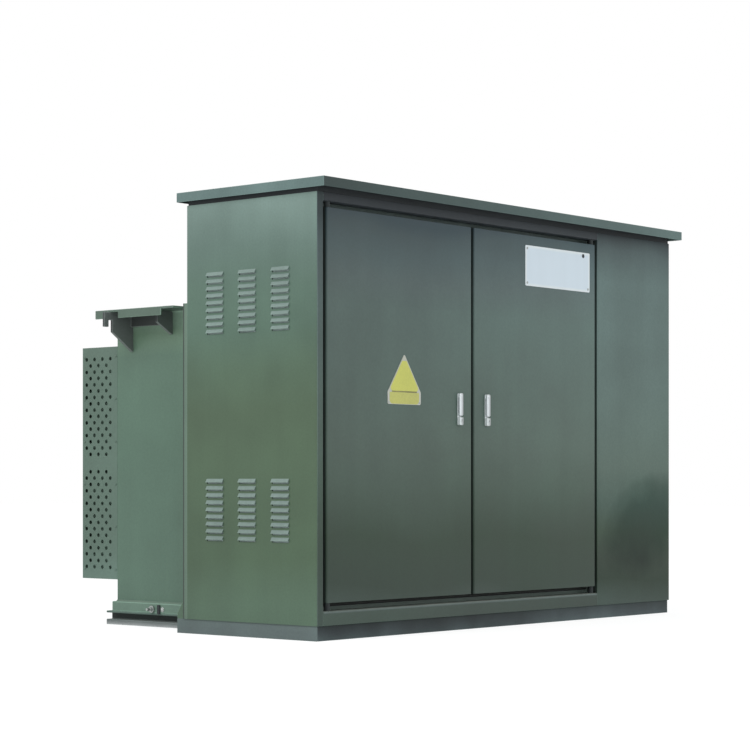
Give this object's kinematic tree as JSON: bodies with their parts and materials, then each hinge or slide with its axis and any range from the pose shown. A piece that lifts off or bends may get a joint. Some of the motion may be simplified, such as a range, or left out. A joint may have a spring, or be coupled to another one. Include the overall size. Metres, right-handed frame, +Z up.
{
  "type": "pad-mounted power transformer",
  "caption": "Pad-mounted power transformer: louvred steel cabinet with hinged doors and turning handles, oil tank behind it and caged radiators at the back.",
  "frame": {"origin": "middle of the footprint's bounding box, on the floor", "axes": "+X to the right across the cabinet's front, +Y from the doors back to the radiators, +Z up"},
  "size_m": [2.652, 1.706, 1.898],
  "materials": {
    "cabinet_paint": "semi-gloss paint",
    "lintel_paint": "semi-gloss paint",
    "base_paint": "scuffed matt paint",
    "tank_paint": "semi-gloss paint",
    "dark_steel": "matt paint",
    "seal_rubber": "matt",
    "handle_chrome": "satin",
    "zinc_steel": "zinc plated",
    "hv_rubber": "smooth moulding",
    "lv_glaze": "glazed"
  },
  "bodies": {
    "root": {"base_front_rail": "base_paint", "base_back_rail": "base_paint", "base_side_rails": "base_paint", "rear_feet": "tank_paint", "left_wall": "cabinet_paint", "right_wall": "cabinet_paint", "left_post": "cabinet_paint", "fixed_panel": "cabinet_paint", "sill": "cabinet_paint", "lintel": "lintel_paint", "back_panel": "cabinet_paint", "stop_jambs": "seal_rubber", "stop_rails": "seal_rubber", "roof": "cabinet_paint", "roof_frame_sides": "dark_steel", "roof_frame_ends": "dark_steel", "hinge_pins": "zinc_steel", "tank_front_plate": "tank_paint", "tank_left_wall": "tank_paint", "tank_right_wall": "tank_paint", "tank_back_wall": "tank_paint", "tank_floor": "tank_paint", "tank_cover": "tank_paint", "lifting_lugs_left": "dark_steel", "lifting_lugs_right": "dark_steel", "tank_skids": "base_paint", "ground_terminal": "zinc_steel", "hv_bushings": "hv_rubber", "lv_bushings": "lv_glaze", "radiator_left": "tank_paint", "radiator_middle": "tank_paint", "radiator_right": "tank_paint", "guard_left": "tank_paint", "guard_right": "tank_paint", "guard_back_left": "tank_paint", "guard_back_middle": "tank_paint", "guard_back_right": "tank_paint", "guard_posts": "tank_paint", "guard_ties": "tank_paint"},
    "left_door": {"left_door": "cabinet_paint", "left_escutcheon": "handle_chrome"},
    "right_door": {"right_door": "cabinet_paint", "right_escutcheon": "handle_chrome"},
    "left_lever": {"left_lever": "handle_chrome"},
    "right_lever": {"right_lever": "handle_chrome"}
  },
  "joints": [
    {"name": "left_door_hinge", "type": "hinge", "parent": "root", "child": "left_door", "pos_m": [-1.226, -0.78, 0.96], "axis": [0, 0, -1], "range_deg": [0, 110]},
    {"name": "right_door_hinge", "type": "hinge", "parent": "root", "child": "right_door", "pos_m": [0.645, -0.78, 0.96], "axis": [0, 0, 1], "range_deg": [0, 110]},
    {"name": "left_lever_turn", "type": "hinge", "parent": "left_door", "child": "left_lever", "pos_m": [-0.375, -0.8035, 1.022], "axis": [0, 1, 0], "range_deg": [0, 90]},
    {"name": "right_lever_turn", "type": "hinge", "parent": "right_door", "child": "right_lever", "pos_m": [-0.18, -0.8035, 1.022], "axis": [0, -1, 0], "range_deg": [0, 90]}
  ]
}
